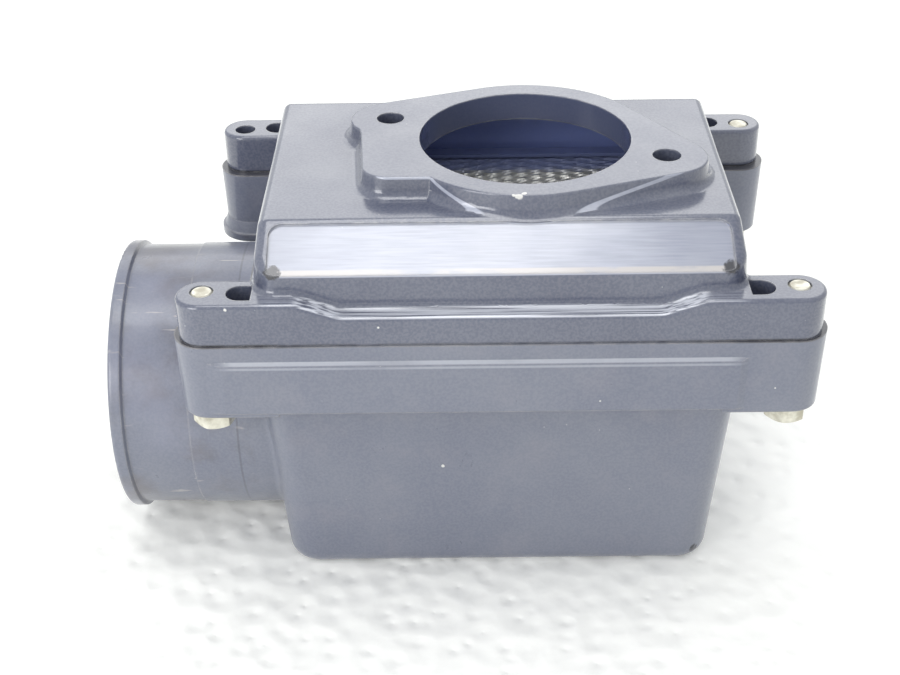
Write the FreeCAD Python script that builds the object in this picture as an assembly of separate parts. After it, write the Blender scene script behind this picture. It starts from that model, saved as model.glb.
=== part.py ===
import FreeCAD, Part
import math
import os

Vector = FreeCAD.Vector

# Air box of a small engine: a cast case with a wide intake tube, a cast cover with a two-hole
# carburettor flange, and a pack of expanded-metal screens held between them in a rubber seal.
# Millimetres. X runs to the right, Y away from the viewer, Z up.
# The origin is on the floor, midway between the four bolts.

# Bolts that hold the cover
bolt_spacing_x = 150.0
bolt_spacing_y = 96.4
bolt_diameter = 6.0
bolt_length = 35.0
bolt_head_height = 4.0
bolt_head_across_flats = 10.0
bolt_head_bevel_angle = 30.0
bolt_head_turn = 15.0
bolt_end_chamfer = 0.6
clearance_hole_diameter = 6.6
thread_clearance = 0.04
washer_diameter = 12.0
washer_hole_diameter = 6.4
washer_thickness = 1.4

# Case body
case_height = 85.2
case_floor_half_x = 60.0
case_floor_half_y = 41.0
case_floor_corner = 9.0
case_rim_corner = 8.0
draft_angle = 3.9
case_bottom_edge_radius = 5.0
case_floor_thickness = 3.2
case_wall_low = 3.0
case_wall_high = 4.6
case_inner_corner = 6.0
case_inner_bottom_radius = 2.5

# Case rim, ears and skirts
case_ear_radius = 8.15
case_ear_foot_radius = 7.6
case_rim_depth = 9.0
case_side_rim = 0.9
case_side_rim_depth = 5.0
skirt_depth = 20.4
skirt_wall = 3.0
band_depth = 4.7
field_rise = 0.7
field_sink = 0.05
field_top_run = 0.8
field_left = -70.5
field_left_run = 4.3
field_right = 60.6
field_right_run = 1.8
foot_radius = 9.6
foot_thickness = 2.3
foot_flare_height = 3.4
foot_flare_step = 0.6
foot_flare_sink = 0.3

# Intake tube
tube_end_x = -106.6
tube_axis_z = 40.7
tube_radius = 38.1
tube_wall = 3.5
tube_step_x = -85.0
tube_step = 0.35
bead_radius = 39.3
bead_width = 4.0
bead_round = 1.1
bead_back_chamfer = 0.6
tube_mouth_chamfer = 0.8
tube_root_radius = 2.0

# Cover
cover_height = 25.4
cover_base_half_x = 63.2
cover_base_half_y = 50.9
cover_draft_x = 2.0
cover_draft_y = 0.7
cover_top_half_x = cover_base_half_x - cover_draft_x
cover_top_half_y = cover_base_half_y - cover_draft_y
cover_base_corner = 7.0
cover_top_corner = 6.0
cover_wall = 3.0
cover_roof = 2.5
cover_inner_corner = 4.0
slope_top_y = 36.1
slope_foot_y = 50.3
slope_drop = 7.4
cover_edge_radius = 2.6
cover_side_rim = 2.0
cover_side_rim_height = 4.2

# Cover ears and ledges
cover_ear_radius = 6.6
cover_front_step = 0.5
ear_height = 11.8
ledge_height = 7.9
ledge_flat_half = 40.5
ledge_ramp_half = 51.5
ledge_blend_radius = 8.0
ear_edge_radius = 1.1
ear_root_radius = 1.5
pocket_radius = 3.6
pocket_depth = 7.0
pocket_from_bolt = 6.2
pocket_wall_x = 62.4

# Name panel on the front slope
panel_half_x = 58.2
panel_border = 1.3
panel_depth = 0.7
panel_corner = 3.5
panel_reach = 6.0

# Carburettor flange
flange_height = 5.5
flange_centre_x = 7.95
flange_disc_radius = 35.1
bore_radius = 28.6
flange_hole_circle = 78.0
flange_hole_angle = -19.2
flange_hole_diameter = 7.6
flange_lobe_radius = 10.9
flange_draft = 0.13
flange_root_depth = 4.0
flange_edge_radius = 0.45
flange_foot_radius = 2.4
tab_left_x = -36.6
tab_top_y = 3.4
tab_low_x = -35.3
tab_front_y = -24.1
tab_corner = 7.0
lobe_notch_angle = 221.0

# Screen pack and its seal
seal_seat_corner = 6.0
seal_seat_depth = 4.2
seal_side_clearance = 0.2
seal_shelf = 3.2
frame_room_x = 2.7
frame_room_y = 2.4
frame_half_x = cover_base_half_x - cover_wall - frame_room_x
frame_half_y = cover_base_half_y - cover_wall - frame_room_y
seal_grip = 2.0
seal_band_x = 5.9
seal_band_y = 5.0
seal_inner_half_x = frame_half_x - seal_grip
seal_inner_half_y = frame_half_y - seal_grip
seal_seat_half_x = frame_half_x + seal_band_x
seal_seat_half_y = frame_half_y + seal_band_y
frame_corner = 5.0
frame_sheet = 1.0
frame_lip = 4.5
screen_thickness = 1.6
screen_count = 3
screen_side_clearance = 0.3
screen_gap_x = 8.0
screen_gap_y = 5.4
screen_strand_x = 2.6
screen_strand_y = 2.2
screen_columns = 10
screen_rows = 11
screen_row_shift = 0.25

# Heights and places that follow from the sizes above
cover_roof_z = case_height + cover_height
flange_face_z = cover_roof_z + flange_height
ear_top_z = case_height + ear_height
ledge_z = case_height + ledge_height
bolt_x = bolt_spacing_x / 2
bolt_y = bolt_spacing_y / 2
cover_ear_y = bolt_y + case_ear_radius - cover_front_step - cover_ear_radius
washer_top_z = ear_top_z - bolt_length + washer_thickness
case_front_y = bolt_y + case_ear_radius
case_slope = math.tan(math.radians(draft_angle))

# Cutting tools and the tests that pick edges
far = 400.0
cut_over = 1.0
nearly = 0.01
touching = 0.001


def case_half_x(z):
    """Half width of the case's drafted side walls at a height."""
    return case_floor_half_x + case_slope * z


def case_half_y(z):
    """Half depth of the case's drafted front and back walls at a height."""
    return case_floor_half_y + case_slope * z


def rounded_rectangle(half_x, half_y, corner, z):
    """A closed wire: a rectangle about the Z axis with round corners, at one height."""
    edges = []
    centres = [(1, 1), (-1, 1), (-1, -1), (1, -1)]
    points = []
    for number, (side_x, side_y) in enumerate(centres):
        centre = Vector(side_x * (half_x - corner), side_y * (half_y - corner), z)
        start = math.radians(90 * number)
        arc = []
        for turn in (0, math.pi / 4, math.pi / 2):
            reach = Vector(math.cos(start + turn), math.sin(start + turn), 0)
            arc.append(centre + reach * corner)
        points.append(arc)
    for number in range(4):
        arc = points[number]
        following = points[(number + 1) % 4]
        edges.append(Part.Arc(arc[0], arc[1], arc[2]).toShape())
        edges.append(Part.LineSegment(arc[2], following[0]).toShape())
    return Part.Wire(edges)


def tapered_block(low, high):
    """A solid between two rounded rectangles, each given as half x, half y, corner and height."""
    return Part.makeLoft([rounded_rectangle(*low), rounded_rectangle(*high)], True, True)


def straight_block(half_x, half_y, corner, z_low, z_high):
    """A solid with rounded-rectangle section and upright walls."""
    face = Part.Face(rounded_rectangle(half_x, half_y, corner, z_low))
    return face.extrude(Vector(0, 0, z_high - z_low))


def box(x_low, x_high, y_low, y_high, z_low, z_high):
    """A plain block between two corners."""
    size = (x_high - x_low, y_high - y_low, z_high - z_low)
    return Part.makeBox(size[0], size[1], size[2], Vector(x_low, y_low, z_low))


def upright(x, y, radius, z_low, z_high):
    """A cylinder standing on its end."""
    return Part.makeCylinder(radius, z_high - z_low, Vector(x, y, z_low))


def long_slot(x_low, x_high, y, radius, z_low, z_high):
    """A bar along X whose two ends are round, seen from above."""
    first = Part.LineSegment(Vector(x_low, y - radius, z_low), Vector(x_high, y - radius, z_low))
    right = Part.Arc(
        Vector(x_high, y - radius, z_low),
        Vector(x_high + radius, y, z_low),
        Vector(x_high, y + radius, z_low),
    )
    last = Part.LineSegment(Vector(x_high, y + radius, z_low), Vector(x_low, y + radius, z_low))
    left = Part.Arc(
        Vector(x_low, y + radius, z_low),
        Vector(x_low - radius, y, z_low),
        Vector(x_low, y - radius, z_low),
    )
    wire = Part.Wire([first.toShape(), right.toShape(), last.toShape(), left.toShape()])
    return Part.Face(wire).extrude(Vector(0, 0, z_high - z_low))


def prism_along_x(outline, x_low, x_high):
    """A solid with a polygon section, given as (y, z) points, running along X."""
    points = [Vector(x_low, y, z) for y, z in outline]
    wire = Part.makePolygon(points + [points[0]])
    return Part.Face(wire).extrude(Vector(x_high - x_low, 0, 0))


def prism_along_y(outline, y_low, y_high):
    """A solid with a polygon section, given as (x, z) points, running along Y."""
    points = [Vector(x, y_low, z) for x, z in outline]
    wire = Part.makePolygon(points + [points[0]])
    return Part.Face(wire).extrude(Vector(0, y_high - y_low, 0))


def mirrored_y(shape):
    """The same shape on the other side of the middle, front to back."""
    return shape.mirror(Vector(0, 0, 0), Vector(0, 1, 0))


def edges_where(shape, test):
    """The edges of a shape whose every sampled point passes a test."""
    found = []
    for edge in shape.Edges:
        if edge.Length < touching:
            continue
        samples = edge.discretize(5)
        if all(test(point) for point in samples):
            found.append(edge)
    return found


def touches(shell, point):
    """Whether a point lies on a surface."""
    return shell.distToShape(Part.Vertex(point))[0] < touching


def seam_edges(whole, first, second, above):
    """The edges of a joined solid where the outsides of two of its parts meet, above a height."""
    found = []
    for edge in whole.Edges:
        if edge.Length < touching:
            continue
        samples = edge.discretize(4)
        if all(point.z > above and touches(first.Shells[0], point) for point in samples):
            if all(touches(second.Shells[0], point) for point in samples):
                found.append(edge)
    return found


def bolt_places():
    """Names and centres of the four bolt ears."""
    return {
        "front_left": (-bolt_x, -bolt_y),
        "front_right": (bolt_x, -bolt_y),
        "rear_left": (-bolt_x, bolt_y),
        "rear_right": (bolt_x, bolt_y),
    }


def ear_reach(z):
    """How far the case's ears reach from the bolt axis at a height; they are drafted."""
    share = (z - washer_top_z) / (case_height - washer_top_z)
    return case_ear_foot_radius + (case_ear_radius - case_ear_foot_radius) * share


def ear_section(centre_y, z_low, z_high):
    """The drafted section of an ear's web or of the rim, as (y, z) points."""
    return [
        (centre_y - ear_reach(z_low), z_low),
        (centre_y + ear_reach(z_low), z_low),
        (centre_y + ear_reach(z_high), z_high),
        (centre_y - ear_reach(z_high), z_high),
    ]


def case_ear(side_x, side_y):
    """One solid ear of the case: a drafted boss round the bolt, joined to the wall by a web."""
    centre_x = side_x * bolt_x
    centre_y = side_y * bolt_y
    height = case_height - washer_top_z
    foot = Vector(centre_x, centre_y, washer_top_z)
    boss = Part.makeCone(ear_reach(washer_top_z), ear_reach(case_height), height, foot)
    inside = side_x * (case_floor_half_x - case_wall_low)
    section = ear_section(centre_y, washer_top_z, case_height)
    web = prism_along_x(section, min(centre_x, inside), max(centre_x, inside))
    return boss.fuse(web)


def case_skirt(side_y):
    """The wall that hangs from the rim between two ears, in one plane with the ears' outside."""
    low = case_height - skirt_depth
    top = case_height - case_rim_depth / 2
    inner = case_front_y - skirt_wall
    section = [
        (side_y * inner, low),
        (side_y * (bolt_y + ear_reach(low)), low),
        (side_y * (bolt_y + ear_reach(top)), top),
        (side_y * inner, top),
    ]
    return prism_along_x(section, -bolt_x, bolt_x)


def rear_left_foot():
    """The flared foot that only the rear left ear has."""
    inside = -case_floor_half_x
    plate = long_slot(-bolt_x, inside, bolt_y, foot_radius, washer_top_z, washer_top_z + foot_thickness)
    flare_low = washer_top_z + foot_thickness
    flare_high = flare_low + foot_flare_height
    reach = (foot_radius - foot_flare_step, case_ear_radius - foot_flare_sink)
    cone = Part.makeCone(reach[0], reach[1], foot_flare_height, Vector(-bolt_x, bolt_y, flare_low))
    section = [
        (bolt_y - reach[0], flare_low),
        (bolt_y + reach[0], flare_low),
        (bolt_y + reach[1], flare_high),
        (bolt_y - reach[1], flare_high),
    ]
    web = prism_along_x(section, -bolt_x, inside)
    return plate.fuse([cone, web])


def front_field():
    """The broad raised field on the front skirt, below a narrow band, with sloped top and ends."""
    low = case_height - skirt_depth
    top = case_height - band_depth

    def outline(rise):
        share = rise / field_rise
        left = field_left - field_left_run * (1 - share)
        right = field_right + field_right_run * (1 - share)
        high = top - field_top_run * share
        low_y = -(bolt_y + ear_reach(low) + rise)
        high_y = -(bolt_y + ear_reach(high) + rise)
        points = [
            Vector(left, low_y, low),
            Vector(right, low_y, low),
            Vector(right, high_y, high),
            Vector(left, high_y, high),
        ]
        return Part.makePolygon(points + [points[0]])

    return Part.makeLoft([outline(-field_sink), outline(field_rise)], True, True)


def intake_tube():
    """The outside of the intake tube with its turned hose seat and end bead, lying along X."""
    root_x = -case_floor_half_x + case_wall_low
    seat = tube_radius
    cast = tube_radius + tube_step
    bead_x = tube_end_x + bead_width
    crown = bead_radius - bead_round
    inset = bead_round * (1 - math.sqrt(0.5))
    back = bead_x - bead_back_chamfer
    profile = [
        Part.LineSegment(Vector(tube_end_x, 0, 0), Vector(tube_end_x, crown, 0)),
        Part.Arc(
            Vector(tube_end_x, crown, 0),
            Vector(tube_end_x + inset, bead_radius - inset, 0),
            Vector(tube_end_x + bead_round, bead_radius, 0),
        ),
        Part.LineSegment(Vector(tube_end_x + bead_round, bead_radius, 0), Vector(back, bead_radius, 0)),
        Part.LineSegment(Vector(back, bead_radius, 0), Vector(bead_x, seat, 0)),
        Part.LineSegment(Vector(bead_x, seat, 0), Vector(tube_step_x, seat, 0)),
        Part.LineSegment(Vector(tube_step_x, seat, 0), Vector(tube_step_x, cast, 0)),
        Part.LineSegment(Vector(tube_step_x, cast, 0), Vector(root_x, cast, 0)),
        Part.LineSegment(Vector(root_x, cast, 0), Vector(root_x, 0, 0)),
        Part.LineSegment(Vector(root_x, 0, 0), Vector(tube_end_x, 0, 0)),
    ]
    face = Part.Face(Part.Wire([piece.toShape() for piece in profile]))
    tube = face.revolve(Vector(0, 0, 0), Vector(1, 0, 0), 360)
    tube.translate(Vector(0, 0, tube_axis_z))
    return tube


def make_case():
    """The lower casting: drafted cup, rim, ears, skirts and intake tube."""
    body = tapered_block(
        (case_half_x(0), case_half_y(0), case_floor_corner, 0),
        (case_half_x(case_height), case_half_y(case_height), case_rim_corner, case_height),
    )
    bottom_edges = edges_where(body, lambda point: point.z < nearly)
    body = body.makeFillet(case_bottom_edge_radius, bottom_edges)
    tube = intake_tube()
    case = body.fuse(tube).removeSplitter()
    case = case.makeFillet(tube_root_radius, seam_edges(case, body, tube, 0.0))
    pieces = []
    rim_half_x = case_half_x(case_height) + case_side_rim
    side_low = case_height - case_side_rim_depth
    pieces.append(straight_block(rim_half_x, bolt_y, case_rim_corner, side_low, case_height))
    rim_low = case_height - case_rim_depth
    for side_y in (-1, 1):
        rim_section = ear_section(side_y * bolt_y, rim_low, case_height)
        pieces.append(prism_along_x(rim_section, -bolt_x, bolt_x))
        pieces.append(case_skirt(side_y))
        for side_x in (-1, 1):
            pieces.append(case_ear(side_x, side_y))
    pieces.append(rear_left_foot())
    pieces.append(front_field())
    case = case.fuse(pieces)
    inner_low = case_floor_thickness
    seat_z = case_height - seal_seat_depth
    hollow = tapered_block(
        (case_half_x(0) - case_wall_low, case_half_y(0) - case_wall_low, case_inner_corner, inner_low),
        (
            case_half_x(seat_z) - case_wall_high,
            case_half_y(seat_z) - case_wall_high,
            case_inner_corner,
            case_height + cut_over,
        ),
    )
    hollow_edges = edges_where(hollow, lambda point: point.z < inner_low + nearly)
    hollow = hollow.makeFillet(case_inner_bottom_radius, hollow_edges)
    above = case_height + cut_over
    seat = straight_block(seal_seat_half_x, seal_seat_half_y, seal_seat_corner, seat_z, above)
    bore_length = -case_floor_half_x + 2 * case_wall_high - tube_end_x
    bore = Part.makeCylinder(
        tube_radius - tube_wall,
        bore_length + cut_over,
        Vector(tube_end_x - cut_over, 0, tube_axis_z),
        Vector(1, 0, 0),
    )
    mouth = Part.makeCone(
        tube_radius - tube_wall + tube_mouth_chamfer,
        tube_radius - tube_wall,
        tube_mouth_chamfer,
        Vector(tube_end_x, 0, tube_axis_z),
        Vector(1, 0, 0),
    )
    tools = [hollow, seat, bore, mouth]
    for x, y in bolt_places().values():
        tools.append(upright(x, y, clearance_hole_diameter / 2, washer_top_z - cut_over, above))
    return case.cut(tools).removeSplitter()


def tangent_angles(distance, large, small, direction):
    """Where the two outer tangents of two circles touch, as angles about either centre."""
    spread = math.degrees(math.acos((large - small) / distance))
    return direction - spread, direction + spread


def flange_outline(grow, z):
    """The carburettor flange seen from above: a disc, two bolt lobes and a square tab."""
    reach = flange_hole_circle / 2
    disc = flange_disc_radius + grow
    lobe = flange_lobe_radius + grow
    right_angle = flange_hole_angle
    left_angle = flange_hole_angle + 180.0
    centre = Vector(flange_centre_x, 0, z)

    def on(circle_centre, radius, angle):
        turn = math.radians(angle)
        return circle_centre + Vector(math.cos(turn), math.sin(turn), 0) * radius

    right = on(centre, reach, right_angle)
    left = on(centre, reach, left_angle)
    right_low, right_high = tangent_angles(reach, disc, lobe, right_angle)
    left_low, _ = tangent_angles(reach, disc, lobe, left_angle)
    tab_y = tab_front_y - grow
    tab_x = tab_low_x - grow
    tab_end_angle = -180.0 - math.degrees(math.asin(tab_y / disc))
    notch = Vector(tab_left_x - grow, tab_top_y - grow, z)
    corner_centre = Vector(tab_x + tab_corner, tab_y + tab_corner, z)
    to_notch = notch - corner_centre
    notch_angle = math.degrees(math.atan2(to_notch.y, to_notch.x))
    side_angle = notch_angle + math.degrees(math.acos(tab_corner / to_notch.Length))
    corner_start = on(corner_centre, tab_corner, side_angle)
    corner_middle = on(corner_centre, tab_corner, (side_angle + 270.0) / 2)
    corner_end = on(corner_centre, tab_corner, 270.0)
    lobe_end = on(left, lobe, lobe_notch_angle)

    def sweep(circle_centre, radius, start, end):
        middle = on(circle_centre, radius, (start + end) / 2)
        return Part.Arc(on(circle_centre, radius, start), middle, on(circle_centre, radius, end))

    disc_start = on(centre, disc, tab_end_angle)
    curves = [
        sweep(centre, disc, tab_end_angle, right_low),
        Part.LineSegment(on(centre, disc, right_low), on(right, lobe, right_low)),
        sweep(right, lobe, right_low, right_high),
        Part.LineSegment(on(right, lobe, right_high), on(centre, disc, right_high)),
        sweep(centre, disc, right_high, left_low),
        Part.LineSegment(on(centre, disc, left_low), on(left, lobe, left_low)),
        sweep(left, lobe, left_low, lobe_notch_angle),
        Part.LineSegment(lobe_end, notch),
        Part.LineSegment(notch, corner_start),
        Part.Arc(corner_start, corner_middle, corner_end),
        Part.LineSegment(corner_end, disc_start),
    ]
    return Part.Wire([curve.toShape() for curve in curves])


def make_flange():
    """The raised flange, drafted from its face down into the roof and the front slope."""
    depth = flange_height + flange_root_depth
    face_wire = flange_outline(0.0, flange_face_z)
    root_wire = flange_outline(flange_draft * depth, flange_face_z - depth)
    flange = Part.makeLoft([root_wire, face_wire], True, True)
    face_edges = edges_where(flange, lambda point: point.z > flange_face_z - nearly)
    return flange.makeFillet(flange_edge_radius, face_edges)


def flange_skirt():
    """The room that the flange's neck and its foot take up, which the panel's recess leaves alone."""
    depth = flange_height + flange_root_depth
    reach = flange_draft * depth + flange_foot_radius / 2
    lower = flange_face_z - depth - cut_over
    return Part.Face(flange_outline(reach, lower)).extrude(Vector(0, 0, flange_face_z - lower))


def slope_cutter(inward):
    """What the front slope takes off a block, moved inward for the inside of the wall."""
    run = slope_foot_y - slope_top_y
    length = math.hypot(run, slope_drop)
    shift_y = inward * slope_drop / length
    shift_z = inward * run / length
    top = (-slope_top_y + shift_y, cover_roof_z - shift_z)
    foot = (-slope_foot_y + shift_y, cover_roof_z - slope_drop - shift_z)
    over = 3.0
    start = (top[0] + over * run, top[1] + over * slope_drop)
    end = (foot[0] - over * run, foot[1] - over * slope_drop)
    outline = [start, end, (end[0], start[1])]
    return prism_along_x(outline, -far, far)


def panel_recess():
    """The shallow bare panel sunk in the front slope, open at its lower edge."""
    run = slope_foot_y - slope_top_y
    angle = math.degrees(math.atan2(slope_drop, run))
    length = math.hypot(run, slope_drop)
    foot = -length - panel_reach
    block = box(-panel_half_x, panel_half_x, foot, -panel_border, -panel_depth, panel_reach)
    corners = edges_where(block, lambda point: abs(point.y + panel_border) < nearly)
    corners = [edge for edge in corners if abs(edge.CenterOfMass.x) > panel_half_x - nearly]
    block = block.makeFillet(panel_corner, corners)
    block.rotate(Vector(0, 0, 0), Vector(1, 0, 0), angle)
    block.translate(Vector(0, -slope_top_y, cover_roof_z))
    return block


def cover_bar(side_y):
    """One long edge of the cover: its two bolt ears and the lower ledge between them."""
    bar = long_slot(-bolt_x, bolt_x, side_y * cover_ear_y, cover_ear_radius, case_height, ear_top_z)
    outer = bolt_x + far
    outline = [
        (-outer, case_height - cut_over),
        (outer, case_height - cut_over),
        (outer, ear_top_z),
        (ledge_ramp_half, ear_top_z),
        (ledge_flat_half, ledge_z),
        (-ledge_flat_half, ledge_z),
        (-ledge_ramp_half, ear_top_z),
        (-outer, ear_top_z),
    ]
    profile = prism_along_y(outline, -far, far)
    kinks = edges_where(
        profile,
        lambda point: point.z > ledge_z - nearly and abs(point.x) < ledge_ramp_half + nearly,
    )
    kinks = [edge for edge in kinks if edge.Length > far]
    profile = profile.makeFillet(ledge_blend_radius, kinks)
    bar = bar.common(profile)
    rim = []
    for edge in edges_where(bar, lambda point: point.z > ledge_z - nearly):
        middle = edge.CenterOfMass
        if abs(abs(middle.y) - cover_ear_y) > nearly or abs(middle.x) > bolt_x:
            rim.append(edge)
    return bar.makeFillet(ear_edge_radius, rim)


def ear_pockets():
    """The blind slots in the cover's ears, between each bolt and the box wall."""
    wall = box(-pocket_wall_x, pocket_wall_x, -far, far, 0, far)
    pockets = []
    for x, y in bolt_places().values():
        side_x = math.copysign(1.0, x)
        ends = sorted([side_x * (bolt_x - pocket_from_bolt - pocket_radius), side_x * cover_top_half_x])
        middle_y = math.copysign(cover_ear_y, y)
        low = ear_top_z - pocket_depth
        pocket = long_slot(ends[0], ends[1], middle_y, pocket_radius, low, ear_top_z + cut_over)
        pockets.append(pocket.cut(wall))
    return pockets


def make_cover():
    """The upper casting: drafted box with sloped front and back, ears and carburettor flange."""
    body = tapered_block(
        (cover_base_half_x, cover_base_half_y, cover_base_corner, case_height),
        (cover_top_half_x, cover_top_half_y, cover_top_corner, cover_roof_z),
    )
    body = body.cut([slope_cutter(0), mirrored_y(slope_cutter(0))])
    upper = edges_where(body, lambda point: point.z > case_height + cover_height / 2)
    body = body.makeFillet(cover_edge_radius, upper)
    side_rim = straight_block(
        cover_base_half_x + cover_side_rim,
        cover_ear_y,
        cover_base_corner,
        case_height,
        case_height + cover_side_rim_height,
    )
    flange = make_flange()
    bars = [cover_bar(-1), cover_bar(1)]
    cover = body.fuse([flange, side_rim] + bars).removeSplitter()
    above = case_height + cut_over
    cover = cover.makeFillet(flange_foot_radius, seam_edges(cover, body, flange, above))
    roots = []
    for bar in bars:
        roots.extend(seam_edges(cover, body, bar, above))
    cover = cover.makeFillet(ear_root_radius, roots)
    cover = cover.cut(panel_recess().cut(flange_skirt()))
    cover = cover.cut([pocket.cut(body) for pocket in ear_pockets()])
    hollow = tapered_block(
        (cover_base_half_x - cover_wall, cover_base_half_y - cover_wall, cover_inner_corner, case_height),
        (
            cover_top_half_x - cover_wall,
            cover_top_half_y - cover_wall,
            cover_inner_corner,
            cover_roof_z - cover_roof,
        ),
    )
    hollow = hollow.cut([slope_cutter(cover_wall), mirrored_y(slope_cutter(cover_wall))])
    tools = [hollow]
    over_face = flange_face_z + cut_over
    tools.append(upright(flange_centre_x, 0, bore_radius, case_height, over_face))
    for turn in (flange_hole_angle, flange_hole_angle + 180.0):
        angle = math.radians(turn)
        x = flange_centre_x + flange_hole_circle / 2 * math.cos(angle)
        y = flange_hole_circle / 2 * math.sin(angle)
        tools.append(upright(x, y, flange_hole_diameter / 2, case_height, over_face))
    thread_radius = bolt_diameter / 2 + thread_clearance
    for x, y in bolt_places().values():
        tools.append(upright(x, y, thread_radius, case_height - cut_over, ear_top_z + cut_over))
    return cover.cut(tools).removeSplitter()


def make_seal():
    """The moulded rubber ring: it lies in the seat of the case and grips the screen pack."""
    low = case_height - seal_seat_depth
    outer_x = seal_seat_half_x - seal_side_clearance
    outer_y = seal_seat_half_y - seal_side_clearance
    above = case_height + cut_over
    ring = straight_block(outer_x, outer_y, seal_seat_corner - seal_side_clearance, low, case_height)
    window = straight_block(seal_inner_half_x, seal_inner_half_y, frame_corner, low - cut_over, above)
    groove = straight_block(frame_half_x, frame_half_y, frame_corner, low + seal_shelf, above)
    return ring.cut([window, groove])


def frame_levels():
    """Lowest and highest level of the screen pack's frame."""
    low = case_height - seal_seat_depth + seal_shelf
    return low, low + 2 * frame_sheet + screen_count * screen_thickness


def make_frame():
    """The folded aluminium channel round the screens, open towards the middle."""
    low, high = frame_levels()
    outer = straight_block(frame_half_x, frame_half_y, frame_corner, low, high)
    inner = straight_block(
        frame_half_x - frame_sheet,
        frame_half_y - frame_sheet,
        frame_corner - frame_sheet,
        low + frame_sheet,
        high - frame_sheet,
    )
    window = straight_block(
        frame_half_x - frame_lip,
        frame_half_y - frame_lip,
        frame_corner - frame_sheet,
        low - cut_over,
        high + cut_over,
    )
    return outer.cut([inner, window])


def make_screen(level):
    """One sheet of expanded metal: a wall with rows of gaps, every second row moved by half a gap."""
    low = frame_levels()[0] + frame_sheet + level * screen_thickness
    half_x = frame_half_x - frame_sheet - screen_side_clearance
    half_y = frame_half_y - frame_sheet - screen_side_clearance
    sheet = straight_block(half_x, half_y, frame_corner - frame_sheet, low, low + screen_thickness)
    pitch_x = screen_gap_x + screen_strand_x
    pitch_y = screen_gap_y + screen_strand_y
    gaps = []
    for row in range(screen_rows):
        y = (row - (screen_rows - 1) / 2) * pitch_y
        shift = screen_row_shift if (row + level) % 2 else -screen_row_shift
        for column in range(screen_columns):
            x = (column - (screen_columns - 1) / 2 + shift) * pitch_x
            points = [
                Vector(x - screen_gap_x / 2, y, low - cut_over),
                Vector(x, y - screen_gap_y / 2, low - cut_over),
                Vector(x + screen_gap_x / 2, y, low - cut_over),
                Vector(x, y + screen_gap_y / 2, low - cut_over),
            ]
            diamond = Part.Face(Part.makePolygon(points + [points[0]]))
            gaps.append(diamond.extrude(Vector(0, 0, screen_thickness + 2 * cut_over)))
    return sheet.cut(gaps)


def make_bolt(x, y):
    """A hexagon-headed bolt screwed up through the case ear into the cover ear."""
    head_top = washer_top_z - washer_thickness
    head_low = head_top - bolt_head_height
    corner_reach = bolt_head_across_flats / 2 / math.cos(math.pi / 6)
    corners = []
    for number in range(6):
        turn = math.radians(60 * number + bolt_head_turn)
        reach = Vector(math.cos(turn), math.sin(turn), 0) * corner_reach
        corners.append(Vector(x, y, head_low) + reach)
    head = Part.Face(Part.makePolygon(corners + [corners[0]])).extrude(Vector(0, 0, bolt_head_height))
    blank_low = bolt_head_across_flats / 2
    blank_high = blank_low + bolt_head_height / math.tan(math.radians(bolt_head_bevel_angle))
    blank = Part.makeCone(blank_low, blank_high, bolt_head_height, Vector(x, y, head_low))
    head = head.common(blank)
    shank = upright(x, y, bolt_diameter / 2, head_top - cut_over, ear_top_z)
    end_edges = edges_where(shank, lambda point: point.z > ear_top_z - nearly)
    shank = shank.makeChamfer(bolt_end_chamfer, end_edges)
    return head.fuse(shank).removeSplitter()


def make_washer(x, y):
    """A plain washer under a bolt head."""
    low = washer_top_z - washer_thickness
    disc = upright(x, y, washer_diameter / 2, low, washer_top_z)
    return disc.cut(upright(x, y, washer_hole_diameter / 2, low - cut_over, washer_top_z + cut_over))


def build():
    """Every sub-part under its node name. The rear left bolt is missing, as in the photograph."""
    nodes = {}
    nodes["cover"] = make_cover()
    nodes["case"] = make_case()
    nodes["seal"] = make_seal()
    nodes["screen_frame"] = make_frame()
    for level, name in enumerate(("screen_lower", "screen_middle", "screen_upper")):
        nodes[name] = make_screen(level)
    places = bolt_places()
    del places["rear_left"]
    for name, (x, y) in places.items():
        nodes["bolt_" + name] = make_bolt(x, y)
        nodes["washer_" + name] = make_washer(x, y)
    return nodes


os.makedirs("parts", exist_ok=True)
for node, shape in build().items():
    shape.exportStep("parts/" + node + ".step")
    print(node, shape.isValid(), len(shape.Solids), round(shape.Volume, 1))
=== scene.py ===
import math

import bmesh
import bpy
from mathutils import Matrix, Vector


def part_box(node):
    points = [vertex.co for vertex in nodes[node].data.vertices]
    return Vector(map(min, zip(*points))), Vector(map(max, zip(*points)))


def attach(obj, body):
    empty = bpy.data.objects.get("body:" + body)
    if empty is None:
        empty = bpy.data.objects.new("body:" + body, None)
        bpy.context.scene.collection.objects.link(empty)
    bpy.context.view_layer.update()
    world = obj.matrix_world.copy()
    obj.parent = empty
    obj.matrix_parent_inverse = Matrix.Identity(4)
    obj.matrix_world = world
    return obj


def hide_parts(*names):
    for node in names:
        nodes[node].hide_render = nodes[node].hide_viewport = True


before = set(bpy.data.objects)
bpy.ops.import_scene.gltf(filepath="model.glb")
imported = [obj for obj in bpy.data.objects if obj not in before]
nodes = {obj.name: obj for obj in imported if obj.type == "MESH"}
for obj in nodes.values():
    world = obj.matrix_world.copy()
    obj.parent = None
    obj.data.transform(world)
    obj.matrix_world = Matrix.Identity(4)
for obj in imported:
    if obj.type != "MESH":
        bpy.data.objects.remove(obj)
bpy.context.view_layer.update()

# The table: a sheet of thin white crinkled paper that the air box stands on.
# It runs far past the picture on every side, so it is the background as well.
sheet_half = 1.6
sheet_cells = 8
sheet_colour = (0.93, 0.93, 0.9, 1.0)
sheet_roughness = 0.8
crinkle_scale = 170.0
crinkle_height = 0.0026
crinkle_strength = 0.6
fold_scale = 30.0
fold_detail = 4.0
background_colour = (1.0, 1.0, 0.97, 1.0)
background_light = 0.12

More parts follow.
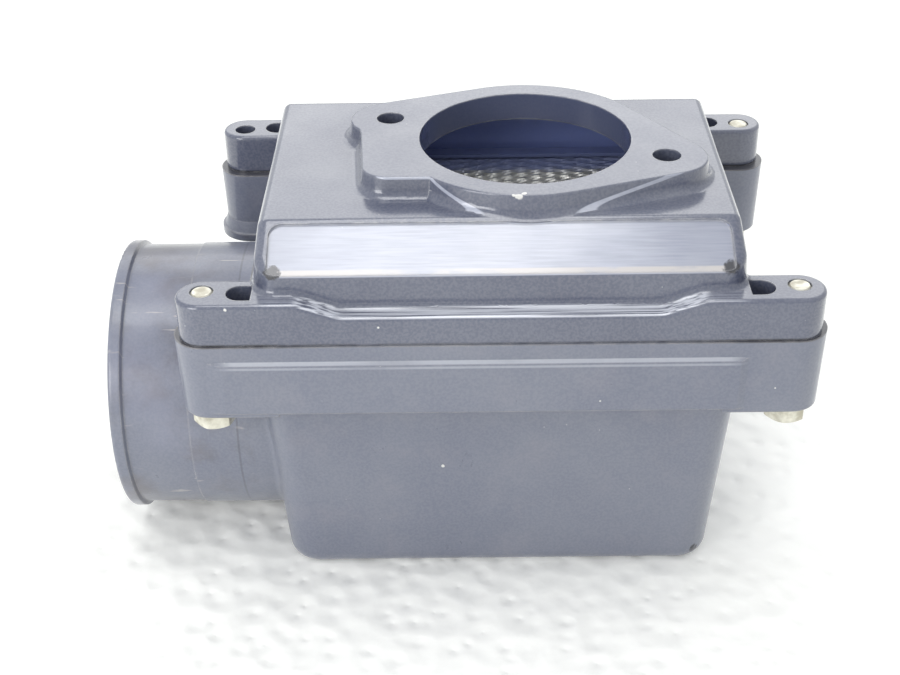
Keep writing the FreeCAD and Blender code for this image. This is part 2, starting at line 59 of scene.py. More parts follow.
sheet_mesh = bpy.data.meshes.new("paper_sheet")
sheet_maker = bmesh.new()
bmesh.ops.create_grid(
    sheet_maker, x_segments=sheet_cells, y_segments=sheet_cells, size=sheet_half
)
sheet_maker.to_mesh(sheet_mesh)
sheet_maker.free()
paper_sheet = bpy.data.objects.new("paper_sheet", sheet_mesh)
bpy.context.scene.collection.objects.link(paper_sheet)

paper = bpy.data.materials.new("white_paper")
paper.use_nodes = True
tree = paper.node_tree
shader = tree.nodes["Principled BSDF"]
shader.inputs["Base Color"].default_value = sheet_colour
shader.inputs["Roughness"].default_value = sheet_roughness
place = tree.nodes.new("ShaderNodeTexCoord")
crinkles = tree.nodes.new("ShaderNodeTexVoronoi")
crinkles.feature = "SMOOTH_F1"
crinkles.inputs["Scale"].default_value = crinkle_scale
folds = tree.nodes.new("ShaderNodeTexNoise")
folds.inputs["Scale"].default_value = fold_scale
folds.inputs["Detail"].default_value = fold_detail
both = tree.nodes.new("ShaderNodeMath")
both.operation = "ADD"
bump = tree.nodes.new("ShaderNodeBump")
bump.inputs["Distance"].default_value = crinkle_height
bump.inputs["Strength"].default_value = crinkle_strength
tree.links.new(place.outputs["Object"], crinkles.inputs["Vector"])
tree.links.new(place.outputs["Object"], folds.inputs["Vector"])
tree.links.new(crinkles.outputs["Distance"], both.inputs[0])
tree.links.new(folds.outputs["Fac"], both.inputs[1])
tree.links.new(both.outputs[0], bump.inputs["Height"])
tree.links.new(bump.outputs["Normal"], shader.inputs["Normal"])

# The paper looks a little whiter to the camera, in reflections and through openings,
# but it throws no more light on the part.
seen = tree.nodes.new("ShaderNodeLightPath")
seen_or_mirrored = tree.nodes.new("ShaderNodeMath")
seen_or_mirrored.operation = "MAXIMUM"
tree.links.new(seen.outputs["Is Camera Ray"], seen_or_mirrored.inputs[0])
tree.links.new(seen.outputs["Is Glossy Ray"], seen_or_mirrored.inputs[1])
any_way = tree.nodes.new("ShaderNodeMath")
any_way.operation = "MAXIMUM"
tree.links.new(seen_or_mirrored.outputs[0], any_way.inputs[0])
tree.links.new(seen.outputs["Is Transmission Ray"], any_way.inputs[1])
glow = tree.nodes.new("ShaderNodeMath")
glow.operation = "MULTIPLY"
glow.inputs[1].default_value = background_light
tree.links.new(any_way.outputs[0], glow.inputs[0])
shader.inputs["Emission Color"].default_value = background_colour
tree.links.new(glow.outputs[0], shader.inputs["Emission Strength"])
sheet_mesh.materials.append(paper)

# The light: a pale even room, a soft box above, a wide weak window behind for the sheen on
# the level faces, and a panel at the front left that lights the faces towards the camera.
room_colour = (0.96, 0.98, 1.0, 1.0)
room_light = 0.8
cover_middle = (0.0, 0.0, 0.08)
case_middle = (0.0, 0.0, 0.06)

room = bpy.data.worlds.new("pale_room")
room.use_nodes = True
room.node_tree.nodes["Background"].inputs["Color"].default_value = room_colour
room.node_tree.nodes["Background"].inputs["Strength"].default_value = room_light
bpy.context.scene.world = room


def soft_box(name, place, aim, width, depth, radiance):
    """A flat lamp of a plain brightness that faces a point."""
    lamp = bpy.data.lights.new(name, "AREA")
    lamp.shape = "RECTANGLE"
    lamp.size = width
    lamp.size_y = depth
    lamp.energy = radiance * math.pi * width * depth
    lamp_object = bpy.data.objects.new(name, lamp)
    lamp_object.location = place
    facing = (Vector(aim) - Vector(place)).to_track_quat("-Z", "Y")
    lamp_object.rotation_euler = facing.to_euler()
    bpy.context.scene.collection.objects.link(lamp_object)


soft_box("box_above", (-0.1, 0.05, 1.1), cover_middle, width=0.8, depth=0.35, radiance=3.8)
soft_box("window_behind", (-0.06, 1.5, 1.1), cover_middle, width=2.1, depth=0.9, radiance=1.15)
soft_box("panel_in_front", (-0.5, -0.62, 0.36), case_middle, width=0.4, depth=0.36, radiance=5.6)

# The camera stands in front of the part and looks down on it at about a third of a right angle.
# Its lens, place and tilt were fitted to the bolts, rims and bore in the photograph.
sensor_width_mm = 36.0
lens_mm = 60.23
camera_place = (-0.00978, -0.37281, 0.28973)
look_down = math.radians(32.56)
look_left = math.radians(-0.53)
lean = math.radians(-0.94)

camera_data = bpy.data.cameras.new("camera")
camera_data.sensor_width = sensor_width_mm
camera_data.lens = lens_mm
camera = bpy.data.objects.new("camera", camera_data)
ahead = Vector(
    (
        math.sin(look_left) * math.cos(look_down),
        math.cos(look_left) * math.cos(look_down),
        -math.sin(look_down),
    )
)
right = Vector((math.cos(look_left), -math.sin(look_left), 0.0))
upward = right.cross(ahead)
leaned_right = right * math.cos(lean) + upward * math.sin(lean)
leaned_up = upward * math.cos(lean) - right * math.sin(lean)
turn = Matrix((leaned_right, leaned_up, -ahead)).transposed()
camera.matrix_world = Matrix.Translation(camera_place) @ turn.to_4x4()
bpy.context.scene.collection.objects.link(camera)
bpy.context.scene.camera = camera
bpy.context.scene.view_settings.view_transform = "Standard"

# The case: the lower casting, a deep aluminium cup with the intake tube, in blue-black enamel.
# The enamel is satin, thin on the edges with painted highlight lines there, stained on the tube
# with a painted sheen, has painted highlight lines on the skirt, and is dark at the joint with
# dirt and painted shade.
white_chip = (0.7, 0.69, 0.66, 1.0)
dirt_and_shade_dark = (0.02, 0.02, 0.03, 1.0)
worn_enamel = (0.62, 0.57, 0.52, 1.0)
pale_dust = (0.7, 0.7, 0.68, 1.0)
case_dark = (0.15, 0.165, 0.222, 1.0)
case_light = (0.18, 0.195, 0.248, 1.0)
case_bare = (0.52, 0.5, 0.5, 1.0)
tube_stain = (0.095, 0.085, 0.095, 1.0)
tube_painted_sheen = (0.3, 0.31, 0.42, 1.0)
case_rub = (0.34, 0.31, 0.33, 1.0)
skirt_highlight = (0.6, 0.62, 0.68, 1.0)
joint_z = 0.0851
tube_start_x = -0.0668
tube_half_y = 0.0385
tube_step_x = -0.0717
skirt_front_y = -0.0552
skirt_highlight_half_x = 0.062
skirt_highlight_lines = ((0.0803, 0.0003, 0.55), (0.0790, 0.0002, 0.3))
case_chips = (
    ((-0.0153, -0.0436, 0.0377), 0.0005),
    ((0.0700, -0.0562, 0.0710), 0.0003),
    ((0.0255, -0.0568, 0.0680), 0.0003),
)
dark_corner = ((0.0571, -0.0413, 0.0039), 0.0024)


def new_group(name, inputs, outputs):
    """An empty shader node group with number or vector sockets."""
    group = bpy.data.node_groups.new(name, "ShaderNodeTree")
    kinds = {"number": "NodeSocketFloat", "vector": "NodeSocketVector"}
    for label, value in inputs:
        socket = group.interface.new_socket(label, in_out="INPUT", socket_type=kinds["number"])
        socket.default_value = value
    for label, kind in outputs:
        group.interface.new_socket(label, in_out="OUTPUT", socket_type=kinds[kind])
    start = group.nodes.new("NodeGroupInput")
    end = group.nodes.new("NodeGroupOutput")
    return group, start, end


def math_node(tree, operation, first, second=None, clamp=False):
    """A maths node whose inputs are sockets or numbers; returns its output."""
    node = tree.nodes.new("ShaderNodeMath")
    node.operation = operation
    node.use_clamp = clamp
    for slot, value in enumerate((first, second)):
        if value is None:
            continue
        if isinstance(value, (int, float)):
            node.inputs[slot].default_value = value
        else:
            tree.links.new(value, node.inputs[slot])
    return node.outputs[0]


def product(tree, *values):
    """Several masks multiplied together."""
    result = values[0]
    for value in values[1:]:
        result = math_node(tree, "MULTIPLY", result, value)
    return result


def ramp(tree, value, low, high, to_low=0.0, to_high=1.0):
    """Maps a value smoothly from one range to another."""
    node = tree.nodes.new("ShaderNodeMapRange")
    node.interpolation_type = "SMOOTHSTEP"
    node.inputs["From Min"].default_value = low
    node.inputs["From Max"].default_value = high
    node.inputs["To Min"].default_value = to_low
    node.inputs["To Max"].default_value = to_high
    tree.links.new(value, node.inputs["Value"])
    return node.outputs["Result"]


def strip(tree, value, middle, half, soft):
    """A mask that is full within a half width of a middle value and fades beyond it."""
    away = math_node(tree, "ABSOLUTE", math_node(tree, "SUBTRACT", value, middle))
    return ramp(tree, away, half + soft, half)


def noise(tree, where, scale, detail=2.0, stretch=None, roughness=0.5):
    """Cloudy noise over the surface, between 0 and 1 about a middle of 0.5."""
    if stretch:
        sizing = tree.nodes.new("ShaderNodeMapping")
        sizing.inputs["Scale"].default_value = stretch
        tree.links.new(where, sizing.inputs["Vector"])
        where = sizing.outputs["Vector"]
    node = tree.nodes.new("ShaderNodeTexNoise")
    node.inputs["Scale"].default_value = scale
    node.inputs["Detail"].default_value = detail
    node.inputs["Roughness"].default_value = roughness
    tree.links.new(where, node.inputs["Vector"])
    return node.outputs["Fac"]


def spot(tree, where, place, radius):
    """A mask of a ragged spot about a point of the surface."""
    raggedness = 0.6
    gap = tree.nodes.new("ShaderNodeVectorMath")
    gap.operation = "DISTANCE"
    tree.links.new(where, gap.inputs[0])
    gap.inputs[1].default_value = place
    grain = noise(tree, where, 900.0, detail=3.0)
    ragged = math_node(tree, "MULTIPLY", grain, raggedness * 2 * radius)
    far_off = math_node(tree, "ADD", gap.outputs["Value"], ragged)
    return ramp(tree, far_off, radius * (1.15 + raggedness), radius * (0.75 + raggedness))


def blend_colour(tree, share, first, second):
    """Mixes two colours, given as sockets or as fixed colours, by a share."""
    node = tree.nodes.new("ShaderNodeMix")
    node.data_type = "RGBA"
    tree.links.new(share, node.inputs["Factor"])
    for label, value in (("A", first), ("B", second)):
        if isinstance(value, tuple):
            node.inputs[label].default_value = value
        else:
            tree.links.new(value, node.inputs[label])
    return node.outputs["Result"]


def lay_over(tree, colour, paint, *masks):
    """Lays one colour over another as far as all the masks allow."""
    return blend_colour(tree, product(tree, *masks), colour, paint)


# Edge wear and a painted highlight: where the surface turns sharply, broken up by noise but
# never below 0.4 of full, so a pale painted highlight line runs along every edge.
edge_wear_and_highlight, start, end = new_group(
    "edge_wear_and_highlight",
    inputs=[("Reach", 0.0008), ("Amount", 0.5), ("Scale", 260.0)],
    outputs=[("Mask", "number"), ("Normal", "vector")],
)
rounding = edge_wear_and_highlight.nodes.new("ShaderNodeBevel")
rounding.samples = 6
edge_wear_and_highlight.links.new(start.outputs["Reach"], rounding.inputs["Radius"])
surface = edge_wear_and_highlight.nodes.new("ShaderNodeNewGeometry")
facing = edge_wear_and_highlight.nodes.new("ShaderNodeVectorMath")
facing.operation = "DOT_PRODUCT"
edge_wear_and_highlight.links.new(rounding.outputs["Normal"], facing.inputs[0])
edge_wear_and_highlight.links.new(surface.outputs["Normal"], facing.inputs[1])
turned = math_node(edge_wear_and_highlight, "SUBTRACT", 1.0, facing.outputs["Value"])
turned = ramp(edge_wear_and_highlight, turned, low=0.02, high=0.16)
spots = edge_wear_and_highlight.nodes.new("ShaderNodeTexNoise")
spots.inputs["Detail"].default_value = 4.0
spot_place = edge_wear_and_highlight.nodes.new("ShaderNodeTexCoord")
edge_wear_and_highlight.links.new(spot_place.outputs["Object"], spots.inputs["Vector"])
edge_wear_and_highlight.links.new(start.outputs["Scale"], spots.inputs["Scale"])
# The floor of 0.4 leaves a painted highlight line along every edge between the worn spots.
broken = ramp(edge_wear_and_highlight, spots.outputs["Fac"], low=0.38, high=0.62, to_low=0.4)
worn_and_lit = product(edge_wear_and_highlight, turned, broken)
worn_and_lit = math_node(edge_wear_and_highlight, "MULTIPLY", worn_and_lit, start.outputs["Amount"], clamp=True)
edge_wear_and_highlight.links.new(worn_and_lit, end.inputs["Mask"])
edge_wear_and_highlight.links.new(rounding.outputs["Normal"], end.inputs["Normal"])

# Dust: pale film on upward faces, in patches, with single specks anywhere.
dust, start, end = new_group(
    "dust", inputs=[("Film", 0.2), ("Specks", 0.5)], outputs=[("Mask", "number")]
)
dust_place = dust.nodes.new("ShaderNodeTexCoord").outputs["Object"]
level = dust.nodes.new("ShaderNodeNewGeometry")
split = dust.nodes.new("ShaderNodeSeparateXYZ")
dust.links.new(level.outputs["Normal"], split.inputs["Vector"])
upward_share = ramp(dust, split.outputs["Z"], low=0.1, high=0.95)
patches = ramp(dust, noise(dust, dust_place, 42.0, detail=6.0), low=0.35, high=0.75)
film = product(dust, upward_share, patches, start.outputs["Film"])
grains = dust.nodes.new("ShaderNodeTexVoronoi")
grains.inputs["Scale"].default_value = 330.0
dust.links.new(dust_place, grains.inputs["Vector"])
near = ramp(dust, grains.outputs["Distance"], low=0.07, high=0.02)
chance = dust.nodes.new("ShaderNodeSeparateColor")
dust.links.new(grains.outputs["Color"], chance.inputs["Color"])
picked = ramp(dust, chance.outputs["Red"], low=0.9, high=0.93)
specks = product(dust, near, picked, start.outputs["Specks"])
dust.links.new(math_node(dust, "ADD", film, specks, clamp=True), end.inputs["Mask"])


def place_group(tree, group, **values):
    """Puts a shared effect into a material with its own values."""
    node = tree.nodes.new("ShaderNodeGroup")
    node.node_tree = group
    for label, value in values.items():
        node.inputs[label].default_value = value
    return node


def enamel(name, dark, light, bare, roughness, gloss, peel, film, wear_and_highlight, marks):
    """Enamel over cast aluminium: cloudy colour, own marks, dust, worn edges with a painted
    highlight line, orange peel.
    """
    material = bpy.data.materials.new(name)
    material.use_nodes = True
    tree = material.node_tree
    shader = tree.nodes["Principled BSDF"]
    shader.inputs["IOR"].default_value = 1.5
    shader.inputs["Coat Weight"].default_value = gloss
    shader.inputs["Coat Roughness"].default_value = roughness * 0.55
    where = tree.nodes.new("ShaderNodeTexCoord").outputs["Object"]
    axes = tree.nodes.new("ShaderNodeSeparateXYZ")
    tree.links.new(where, axes.inputs["Vector"])
    clouds = noise(tree, where, 24.0, detail=6.0, roughness=0.6)
    colour = blend_colour(tree, ramp(tree, clouds, low=0.3, high=0.7), dark, light)
    mottle = ramp(tree, noise(tree, where, 1400.0), low=0.35, high=0.65)
    colour = lay_over(tree, colour, bare, mottle, 0.07)
    smears = noise(tree, where, 55.0, detail=5.0, roughness=0.65)
    satin = ramp(
        tree, smears, low=0.3, high=0.75, to_low=roughness * 0.8, to_high=roughness * 1.25
    )
    colour = marks(tree, where, axes, colour)
    dusty = place_group(tree, dust, Film=film, Specks=0.7)
    colour = lay_over(tree, colour, pale_dust, dusty.outputs["Mask"])
    edges = place_group(tree, edge_wear_and_highlight, Reach=0.0009, Amount=wear_and_highlight, Scale=230.0)
    colour = lay_over(tree, colour, bare, edges.outputs["Mask"])
    tree.links.new(colour, shader.inputs["Base Color"])
    tree.links.new(satin, shader.inputs["Roughness"])
    skin = tree.nodes.new("ShaderNodeBump")
    skin.inputs["Distance"].default_value = peel
    skin.inputs["Strength"].default_value = 0.6
    ripples = math_node(tree, "ADD", noise(tree, where, 900.0), noise(tree, where, 260.0))
    tree.links.new(ripples, skin.inputs["Height"])
    tree.links.new(edges.outputs["Normal"], skin.inputs["Normal"])
    tree.links.new(skin.outputs["Normal"], shader.inputs["Normal"])
    return material


def case_marks(tree, where, axes, colour):
    """Dirt and painted shade at the joint, stains, scratches and painted sheen on the tube,
    painted highlight lines on the skirt, chips.
    """
    x, y, z = (axes.outputs[name] for name in ("X", "Y", "Z"))
    # Dirt and painted shade: the top of the rim darkens under the cover's overhang, more towards
    # the ears.
    off_middle = math_node(tree, "ABSOLUTE", x)
    at_joint = ramp(tree, z, low=joint_z - 0.0003, high=joint_z)
    to_ends = ramp(tree, off_middle, low=0.03, high=0.075, to_low=0.25, to_high=0.9)
    colour = lay_over(tree, colour, dirt_and_shade_dark, at_joint, to_ends)

    tube = product(
        tree,
        ramp(tree, x, low=tube_start_x, high=tube_start_x - 0.0017),
        strip(tree, y, middle=0.0, half=tube_half_y, soft=0.001),
    )
    stains = ramp(tree, noise(tree, where, 38.0, 6.0, roughness=0.65), low=0.42, high=0.68)
    colour = lay_over(tree, colour, tube_stain, tube, stains, 0.7)
    # Painted sheen: lighter bluish patches on the tube stand in for reflections on its gloss.
    sheen = ramp(tree, noise(tree, where, 17.0, 3.0), low=0.45, high=0.7)
    colour = lay_over(tree, colour, tube_painted_sheen, tube, sheen, 0.4)
    step_line = strip(tree, x, middle=tube_step_x, half=0.00022, soft=0.00012)
    colour = lay_over(tree, colour, dirt_and_shade_dark, tube, step_line, 0.28)
    lines = noise(tree, where, 1.0, 3.0, stretch=(60.0, 900.0, 40.0))
    scratches = ramp(tree, lines, low=0.66, high=0.72)
    colour = lay_over(tree, colour, worn_enamel, tube, scratches, 0.5)

    rubs = ramp(tree, noise(tree, where, 75.0, 5.0), low=0.5, high=0.8, to_high=0.14)
    colour = lay_over(tree, colour, case_rub, rubs)
    # Painted highlights: two pale lines along the front of the skirt, at the edges of its raised
    # field.
    uneven = noise(tree, where, 90.0, 4.0, stretch=(0.5, 1.0, 1.0))
    on_front = product(
        tree,
        ramp(tree, y, low=skirt_front_y + 0.0007, high=skirt_front_y),
        strip(tree, x, middle=-0.005, half=skirt_highlight_half_x, soft=0.006),
        ramp(tree, uneven, low=0.25, high=0.5, to_low=0.45),
    )
    for line_z, half, share in skirt_highlight_lines:
        on_line = strip(tree, z, middle=line_z, half=half, soft=0.0003)
        colour = lay_over(tree, colour, skirt_highlight, on_front, on_line, share)
    for place, radius in case_chips:
        colour = lay_over(tree, colour, white_chip, spot(tree, where, place, radius))
    place, radius = dark_corner
    return lay_over(tree, colour, dirt_and_shade_dark, spot(tree, where, place, radius))


case_enamel = enamel(
    "case_enamel",
    dark=case_dark,
    light=case_light,
    bare=case_bare,
    roughness=0.34,
    gloss=0.6,
    peel=0.00006,
    film=0.08,
    wear_and_highlight=0.5,
    marks=case_marks,
)
nodes["case"].data.materials.clear()
nodes["case"].data.materials.append(case_enamel)

# The seal between the halves is a moulded ring of black rubber, matt and a little dusty.
# It lies in the seat round the rim of the case and grips the frame of the screens.
rubber_black = (0.02, 0.02, 0.022, 1.0)
rubber_bloom = (0.06, 0.06, 0.06, 1.0)
rubber_roughness = 0.75

rubber = bpy.data.materials.new("seal_rubber")
rubber.use_nodes = True
tree = rubber.node_tree
shader = tree.nodes["Principled BSDF"]
where = tree.nodes.new("ShaderNodeTexCoord").outputs["Object"]
bloom = ramp(tree, noise(tree, where, 60.0, detail=5.0), low=0.35, high=0.8)
colour = blend_colour(tree, bloom, rubber_black, rubber_bloom)
tree.links.new(colour, shader.inputs["Base Color"])
shader.inputs["Roughness"].default_value = rubber_roughness
nodes["seal"].data.materials.clear()
nodes["seal"].data.materials.append(rubber)

# The screen pack: a folded aluminium channel that holds three sheets of expanded aluminium.
# Each sheet is slit and stretched, so its strands stand at a slant and their edges catch the
# light. The top sheet is bright under the bore and darkened with painted shade towards the back
# of the box; the lower sheets and the frame are a darker painted-shade copy of the aluminium.
cell_width = 0.0085
cell_height = 0.0036
opening_half_width = 0.0032
opening_half_height = 0.00136
opening_point = 1.7
strand_slant = 0.00055
strand_thickness = 0.00025
sheet_reach_x = 0.0562
sheet_reach_y = 0.0442
points_round = 16
same_point = 0.00001
unshaded_up_to_y = 0.031
shaded_from_y = 0.036
painted_shade_share = 0.93
painted_shade_blue = (0.26, 0.31, 0.56, 1.0)
clean_bright = (0.95, 0.94, 0.88, 1.0)
clean_dull = (0.7, 0.7, 0.68, 1.0)
shaded_bright = (0.12, 0.14, 0.24, 1.0)
shaded_dull = (0.05, 0.06, 0.1, 1.0)


def tarnished_and_shaded(name, bright, dull, metal):
    """Bare aluminium with cloudy tarnish, darkened with painted shade towards the back of the
    box.
    """
    material = bpy.data.materials.new(name)
    material.use_nodes = True
    tree = material.node_tree
    shader = tree.nodes["Principled BSDF"]
    where = tree.nodes.new("ShaderNodeTexCoord").outputs["Object"]
    tarnish = ramp(tree, noise(tree, where, 150.0, detail=5.0), low=0.3, high=0.75)
    axes = tree.nodes.new("ShaderNodeSeparateXYZ")
    tree.links.new(where, axes.inputs["Vector"])
    # Painted shade: the colour darkens towards the back of the box, where the sheet lies in the
    # shadow of the cover.
    painted_shade = ramp(tree, axes.outputs["Y"], unshaded_up_to_y, shaded_from_y, to_high=painted_shade_share)
    metal_colour = blend_colour(tree, tarnish, bright, dull)
    metal_colour = lay_over(tree, metal_colour, painted_shade_blue, painted_shade)
    matt = ramp(tree, tarnish, low=0.0, high=1.0, to_low=0.3, to_high=0.55)
    tree.links.new(metal_colour, shader.inputs["Base Color"])
    tree.links.new(matt, shader.inputs["Roughness"])
    bare = ramp(tree, painted_shade, low=0.0, high=1.0, to_low=metal, to_high=0.0)
    tree.links.new(bare, shader.inputs["Metallic"])
    return material


bright_aluminium = tarnished_and_shaded("bright_aluminium", clean_bright, clean_dull, metal=0.5)
shaded_aluminium = tarnished_and_shaded("shaded_aluminium", shaded_bright, shaded_dull, metal=0.1)
# The frame takes the darker painted-shade copy of the aluminium.
nodes["screen_frame"].data.materials.clear()
nodes["screen_frame"].data.materials.append(shaded_aluminium)


def expanded_sheet(name, node_name, shift_x, shift_y, finish):
    """One sheet of slanted strands round lens-shaped openings, in the room of its solid."""
    low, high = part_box(node_name)
    middle = (low.z + high.z) / 2
    maker = bmesh.new()
    columns = int(sheet_reach_x / cell_width) + 2
    rows = int(sheet_reach_y / cell_height) + 2
    for row in range(-2 * rows, 2 * rows + 1):
        centre_y = row * cell_height / 2 + shift_y
        if abs(centre_y) > sheet_reach_y - cell_height / 2:
            continue
        for column in range(-columns, columns + 1):
            centre_x = (column + (0.5 if row % 2 else 0.0)) * cell_width + shift_x
            if abs(centre_x) > sheet_reach_x - cell_width / 2:
                continue
            inner = []
            outer = []
            for step in range(points_round):
                angle = 2 * math.pi * step / points_round
                across = math.cos(angle)
                along = math.sin(angle)
                reach = 1.0 / (abs(across) + abs(along))
                corner = (
                    centre_x + across * reach * cell_width / 2,
                    centre_y + along * reach * cell_height / 2,
                    middle,
                )
                outer.append(maker.verts.new(corner))
                lens = abs(along) ** opening_point * (1 if along > 0 else -1)
                edge = (
                    centre_x + across * opening_half_width,
                    centre_y + lens * opening_half_height,
                    middle - along * strand_slant,
                )
                inner.append(maker.verts.new(edge))
            for step in range(points_round):
                after = (step + 1) % points_round
                maker.faces.new((outer[step], outer[after], inner[after], inner[step]))
    bmesh.ops.remove_doubles(maker, verts=maker.verts, dist=same_point)
    mesh = bpy.data.meshes.new(name)
    maker.to_mesh(mesh)
    maker.free()
    mesh.materials.append(finish)
    sheet = bpy.data.objects.new(name, mesh)
    bpy.context.scene.collection.objects.link(sheet)
    thicken = sheet.modifiers.new("strand thickness", "SOLIDIFY")
    thicken.thickness = strand_thickness
    thicken.offset = 0.0
    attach(sheet, "root")
    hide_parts(node_name)


# The lower and middle sheets take the darker painted-shade copy; the top sheet is bright, with
# painted shade towards the back.
expanded_sheet("expanded_sheet_lower", "screen_lower", 0.0, 0.0, shaded_aluminium)
expanded_sheet("expanded_sheet_middle", "screen_middle", 0.0021, 0.0009, shaded_aluminium)
expanded_sheet("expanded_sheet_upper", "screen_upper", 0.0, 0.0, bright_aluminium)

# The cover: the upper casting, with the sloped front and the carburettor flange, in the same
# enamel but glossier. Its sunk panel is coloured pale and streaky as a painted reflection of the
# light above, and the ledges between the bolt ears get streaky painted highlights.
cover_dark = (0.08, 0.09, 0.14, 1.0)
cover_light = (0.11, 0.122, 0.172, 1.0)
cover_bare = (0.6, 0.6, 0.62, 1.0)
panel_reflection_dark = (0.36, 0.38, 0.46, 1.0)
panel_reflection_light = (0.47, 0.49, 0.58, 1.0)
panel_reflection_bright = (0.6, 0.62, 0.68, 1.0)
panel_painted_shade = (0.2, 0.215, 0.28, 1.0)
ledge_highlight = (0.74, 0.76, 0.83, 1.0)
inner_painted_light = (0.32, 0.4, 0.82, 1.0)
bore_blue = (0.085, 0.1, 0.18, 1.0)
slope_top_y = -0.0361
slope_top_z = 0.1106
slope_lean_y = -0.462
slope_lean_z = 0.887
panel_depth = 0.00075
panel_half_x = 0.0577
panel_foot_y = -0.0499
panel_foot_z = 0.1033
ledge_middle_y = -0.0532
ledge_half_y = 0.0026
ledge_top_z = 0.0966
chamber_half_x = 0.0575
chamber_half_y = 0.0485
chamber_roof_z = 0.1086
bore_centre_x = 0.00795
bore_radius = 0.0287
bore_foot_z = 0.1085
cover_foot_z = 0.0855
cover_chips = (
    ((0.005, -0.0352, 0.1159), 0.001),
    ((0.0064, -0.0340, 0.1161), 0.0007),
    ((0.0036, -0.0347, 0.1161), 0.0005),
    ((-0.0682, -0.0559, 0.0961), 0.0004),
    ((-0.0796, -0.0548, 0.0963), 0.0003),
    ((0.0567, -0.0508, 0.0992), 0.0004),
    ((-0.0305, -0.0558, 0.0905), 0.0003),
    ((0.0402, -0.0508, 0.0981), 0.0003),
)
panel_dark_corner_spots = (
    ((-0.0567, -0.0497, 0.1032), 0.0022),
    ((0.0573, -0.0497, 0.1035), 0.0024),
)


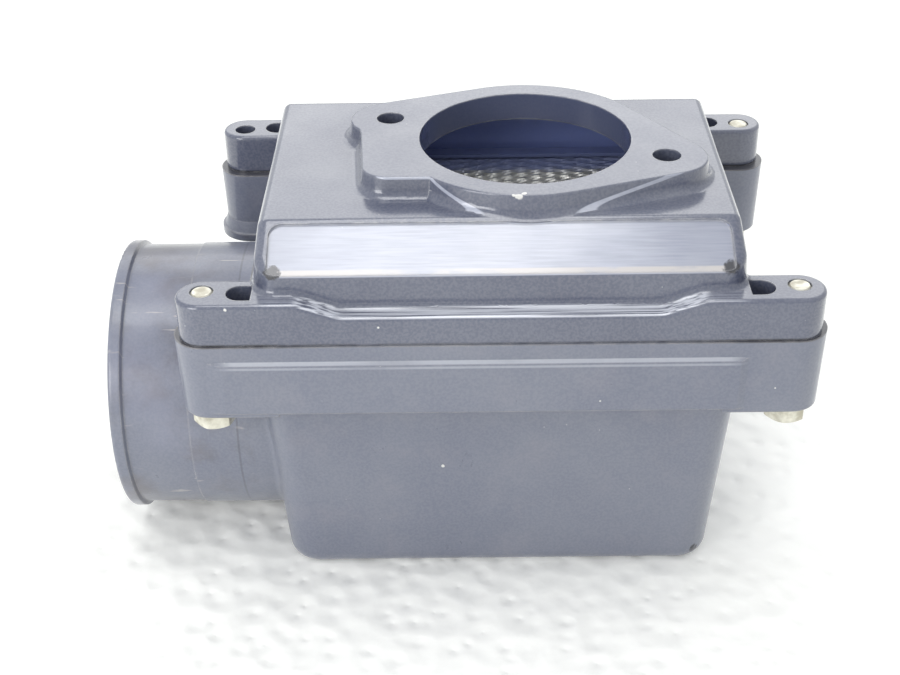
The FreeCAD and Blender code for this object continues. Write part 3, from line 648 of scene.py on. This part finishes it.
def cover_marks(tree, where, axes, colour):
    """The panel's painted reflection and painted shade, the painted fill light inside, painted
    highlights on the ledges, dirt and painted shade at the joint, chips.
    """
    x, y, z = (axes.outputs[name] for name in ("X", "Y", "Z"))
    off_middle = math_node(tree, "ABSOLUTE", x)
    surface = tree.nodes.new("ShaderNodeNewGeometry")
    tilt = tree.nodes.new("ShaderNodeSeparateXYZ")
    tree.links.new(surface.outputs["True Normal"], tilt.inputs["Vector"])

    run = math_node(tree, "MULTIPLY", math_node(tree, "SUBTRACT", y, slope_top_y), slope_lean_y)
    rise = math_node(tree, "MULTIPLY", math_node(tree, "SUBTRACT", z, slope_top_z), slope_lean_z)
    under_slope = math_node(tree, "ADD", run, rise)
    panel = product(
        tree,
        strip(tree, under_slope, middle=-panel_depth, half=0.0003, soft=0.0002),
        ramp(tree, tilt.outputs["Y"], low=-0.38, high=-0.44),
        strip(tree, x, middle=0.0, half=panel_half_x, soft=0.0006),
    )
    # Painted reflection: the sunk panel is coloured pale blue-grey with streaks and brighter
    # patches, standing in for the overhead light it mirrors.
    reflection_streaks = noise(tree, where, 1.0, 4.0, stretch=(90.0, 1500.0, 1500.0))
    pale = blend_colour(tree, ramp(tree, reflection_streaks, low=0.2, high=0.8), panel_reflection_dark, panel_reflection_light)
    patch = ramp(tree, noise(tree, where, 45.0, 4.0), low=0.45, high=0.75, to_high=0.35)
    pale = lay_over(tree, pale, panel_reflection_bright, patch)
    # Painted shade: the panel darkens towards its ends.
    sideways = math_node(tree, "ABSOLUTE", math_node(tree, "ADD", x, 0.006))
    pale = lay_over(tree, pale, panel_painted_shade, ramp(tree, sideways, low=0.03, high=0.058), 0.5)
    colour = lay_over(tree, colour, pale, panel)

    # Painted fill light: the inside of the chamber is coloured a far lighter, bluer blue than
    # the enamel outside, to lift its shade; the bore wall keeps a darker blue.
    inside = product(
        tree,
        ramp(tree, z, low=chamber_roof_z + 0.0006, high=chamber_roof_z),
        strip(tree, y, middle=0.0, half=chamber_half_y, soft=0.0005),
        strip(tree, x, middle=0.0, half=chamber_half_x, soft=0.0005),
        ramp(tree, tilt.outputs["Z"], low=0.3, high=0.1),
    )
    from_axis = math_node(tree, "SUBTRACT", x, bore_centre_x)
    squares = math_node(
        tree,
        "ADD",
        math_node(tree, "MULTIPLY", from_axis, from_axis),
        math_node(tree, "MULTIPLY", y, y),
    )
    bore_wall = product(
        tree,
        ramp(tree, squares, low=(bore_radius + 0.0001) ** 2, high=bore_radius**2),
        ramp(tree, z, low=bore_foot_z - 0.001, high=bore_foot_z),
    )
    inside_light_mask = math_node(tree, "SUBTRACT", inside, bore_wall, clamp=True)
    colour = lay_over(tree, colour, inner_painted_light, inside_light_mask, 0.8)
    colour = lay_over(tree, colour, bore_blue, bore_wall, 0.8)

    # Painted highlight: pale streaks along the ledges between the bolt ears stand in for the
    # light they reflect.
    streaks = noise(tree, where, 1.0, 5.0, stretch=(26.0, 1300.0, 900.0))
    ledge_highlight_mask = product(
        tree,
        ramp(tree, tilt.outputs["Z"], low=0.55, high=0.8),
        strip(tree, y, middle=ledge_middle_y, half=ledge_half_y, soft=0.0005),
        ramp(tree, z, low=ledge_top_z + 0.0006, high=ledge_top_z),
        strip(tree, x, middle=0.0, half=0.057, soft=0.006),
        ramp(tree, streaks, low=0.36, high=0.58),
    )
    colour = lay_over(tree, colour, ledge_highlight, ledge_highlight_mask, 0.85)

    uneven = noise(tree, where, 160.0, 4.0, stretch=(0.4, 1.0, 1.0))
    worn_line = product(
        tree,
        strip(tree, y, middle=panel_foot_y, half=0.0007, soft=0.0005),
        strip(tree, z, middle=panel_foot_z, half=0.0008, soft=0.0006),
        strip(tree, x, middle=0.0, half=0.0555, soft=0.003),
        ramp(tree, uneven, low=0.3, high=0.5),
    )
    colour = lay_over(tree, colour, worn_enamel, worn_line, 0.7)

    # Dirt and painted shade: a dark band along the foot of the cover at the joint, stronger
    # towards the ears.
    at_joint = ramp(tree, z, low=cover_foot_z + 0.0006, high=cover_foot_z)
    to_ends = ramp(tree, off_middle, low=0.03, high=0.07, to_low=0.35)
    broken_up = ramp(tree, noise(tree, where, 120.0, 4.0), low=0.25, high=0.5)
    colour = lay_over(tree, colour, dirt_and_shade_dark, at_joint, to_ends, broken_up)

    for place, radius in cover_chips:
        colour = lay_over(tree, colour, white_chip, spot(tree, where, place, radius))
    # Dark spots at the two lower corners of the sunk panel.
    for place, radius in panel_dark_corner_spots:
        colour = lay_over(tree, colour, dirt_and_shade_dark, spot(tree, where, place, radius))
    return colour


cover_enamel = enamel(
    "cover_enamel",
    dark=cover_dark,
    light=cover_light,
    bare=cover_bare,
    roughness=0.22,
    gloss=1.0,
    peel=0.00004,
    film=0.1,
    wear_and_highlight=0.75,
    marks=cover_marks,
)
nodes["cover"].data.materials.clear()
nodes["cover"].data.materials.append(cover_enamel)

# The bolts and washers are zinc-plated steel, slightly yellowed and stained.
# Each bolt comes up through the case from below and ends flush in the cover's ear.
zinc_bright = (0.8, 0.78, 0.68, 1.0)
zinc_stained = (0.5, 0.47, 0.38, 1.0)
zinc_metal = 0.6

zinc = bpy.data.materials.new("zinc_plate")
zinc.use_nodes = True
tree = zinc.node_tree
shader = tree.nodes["Principled BSDF"]
where = tree.nodes.new("ShaderNodeTexCoord").outputs["Object"]
stain = ramp(tree, noise(tree, where, 300.0, detail=5.0), low=0.35, high=0.7)
colour = blend_colour(tree, stain, zinc_bright, zinc_stained)
matt = ramp(tree, stain, low=0.0, high=1.0, to_low=0.28, to_high=0.5)
tree.links.new(colour, shader.inputs["Base Color"])
tree.links.new(matt, shader.inputs["Roughness"])
shader.inputs["Metallic"].default_value = zinc_metal
for node_name, node in nodes.items():
    if node_name.startswith(("bolt_", "washer_")):
        node.data.materials.clear()
        node.data.materials.append(zinc)
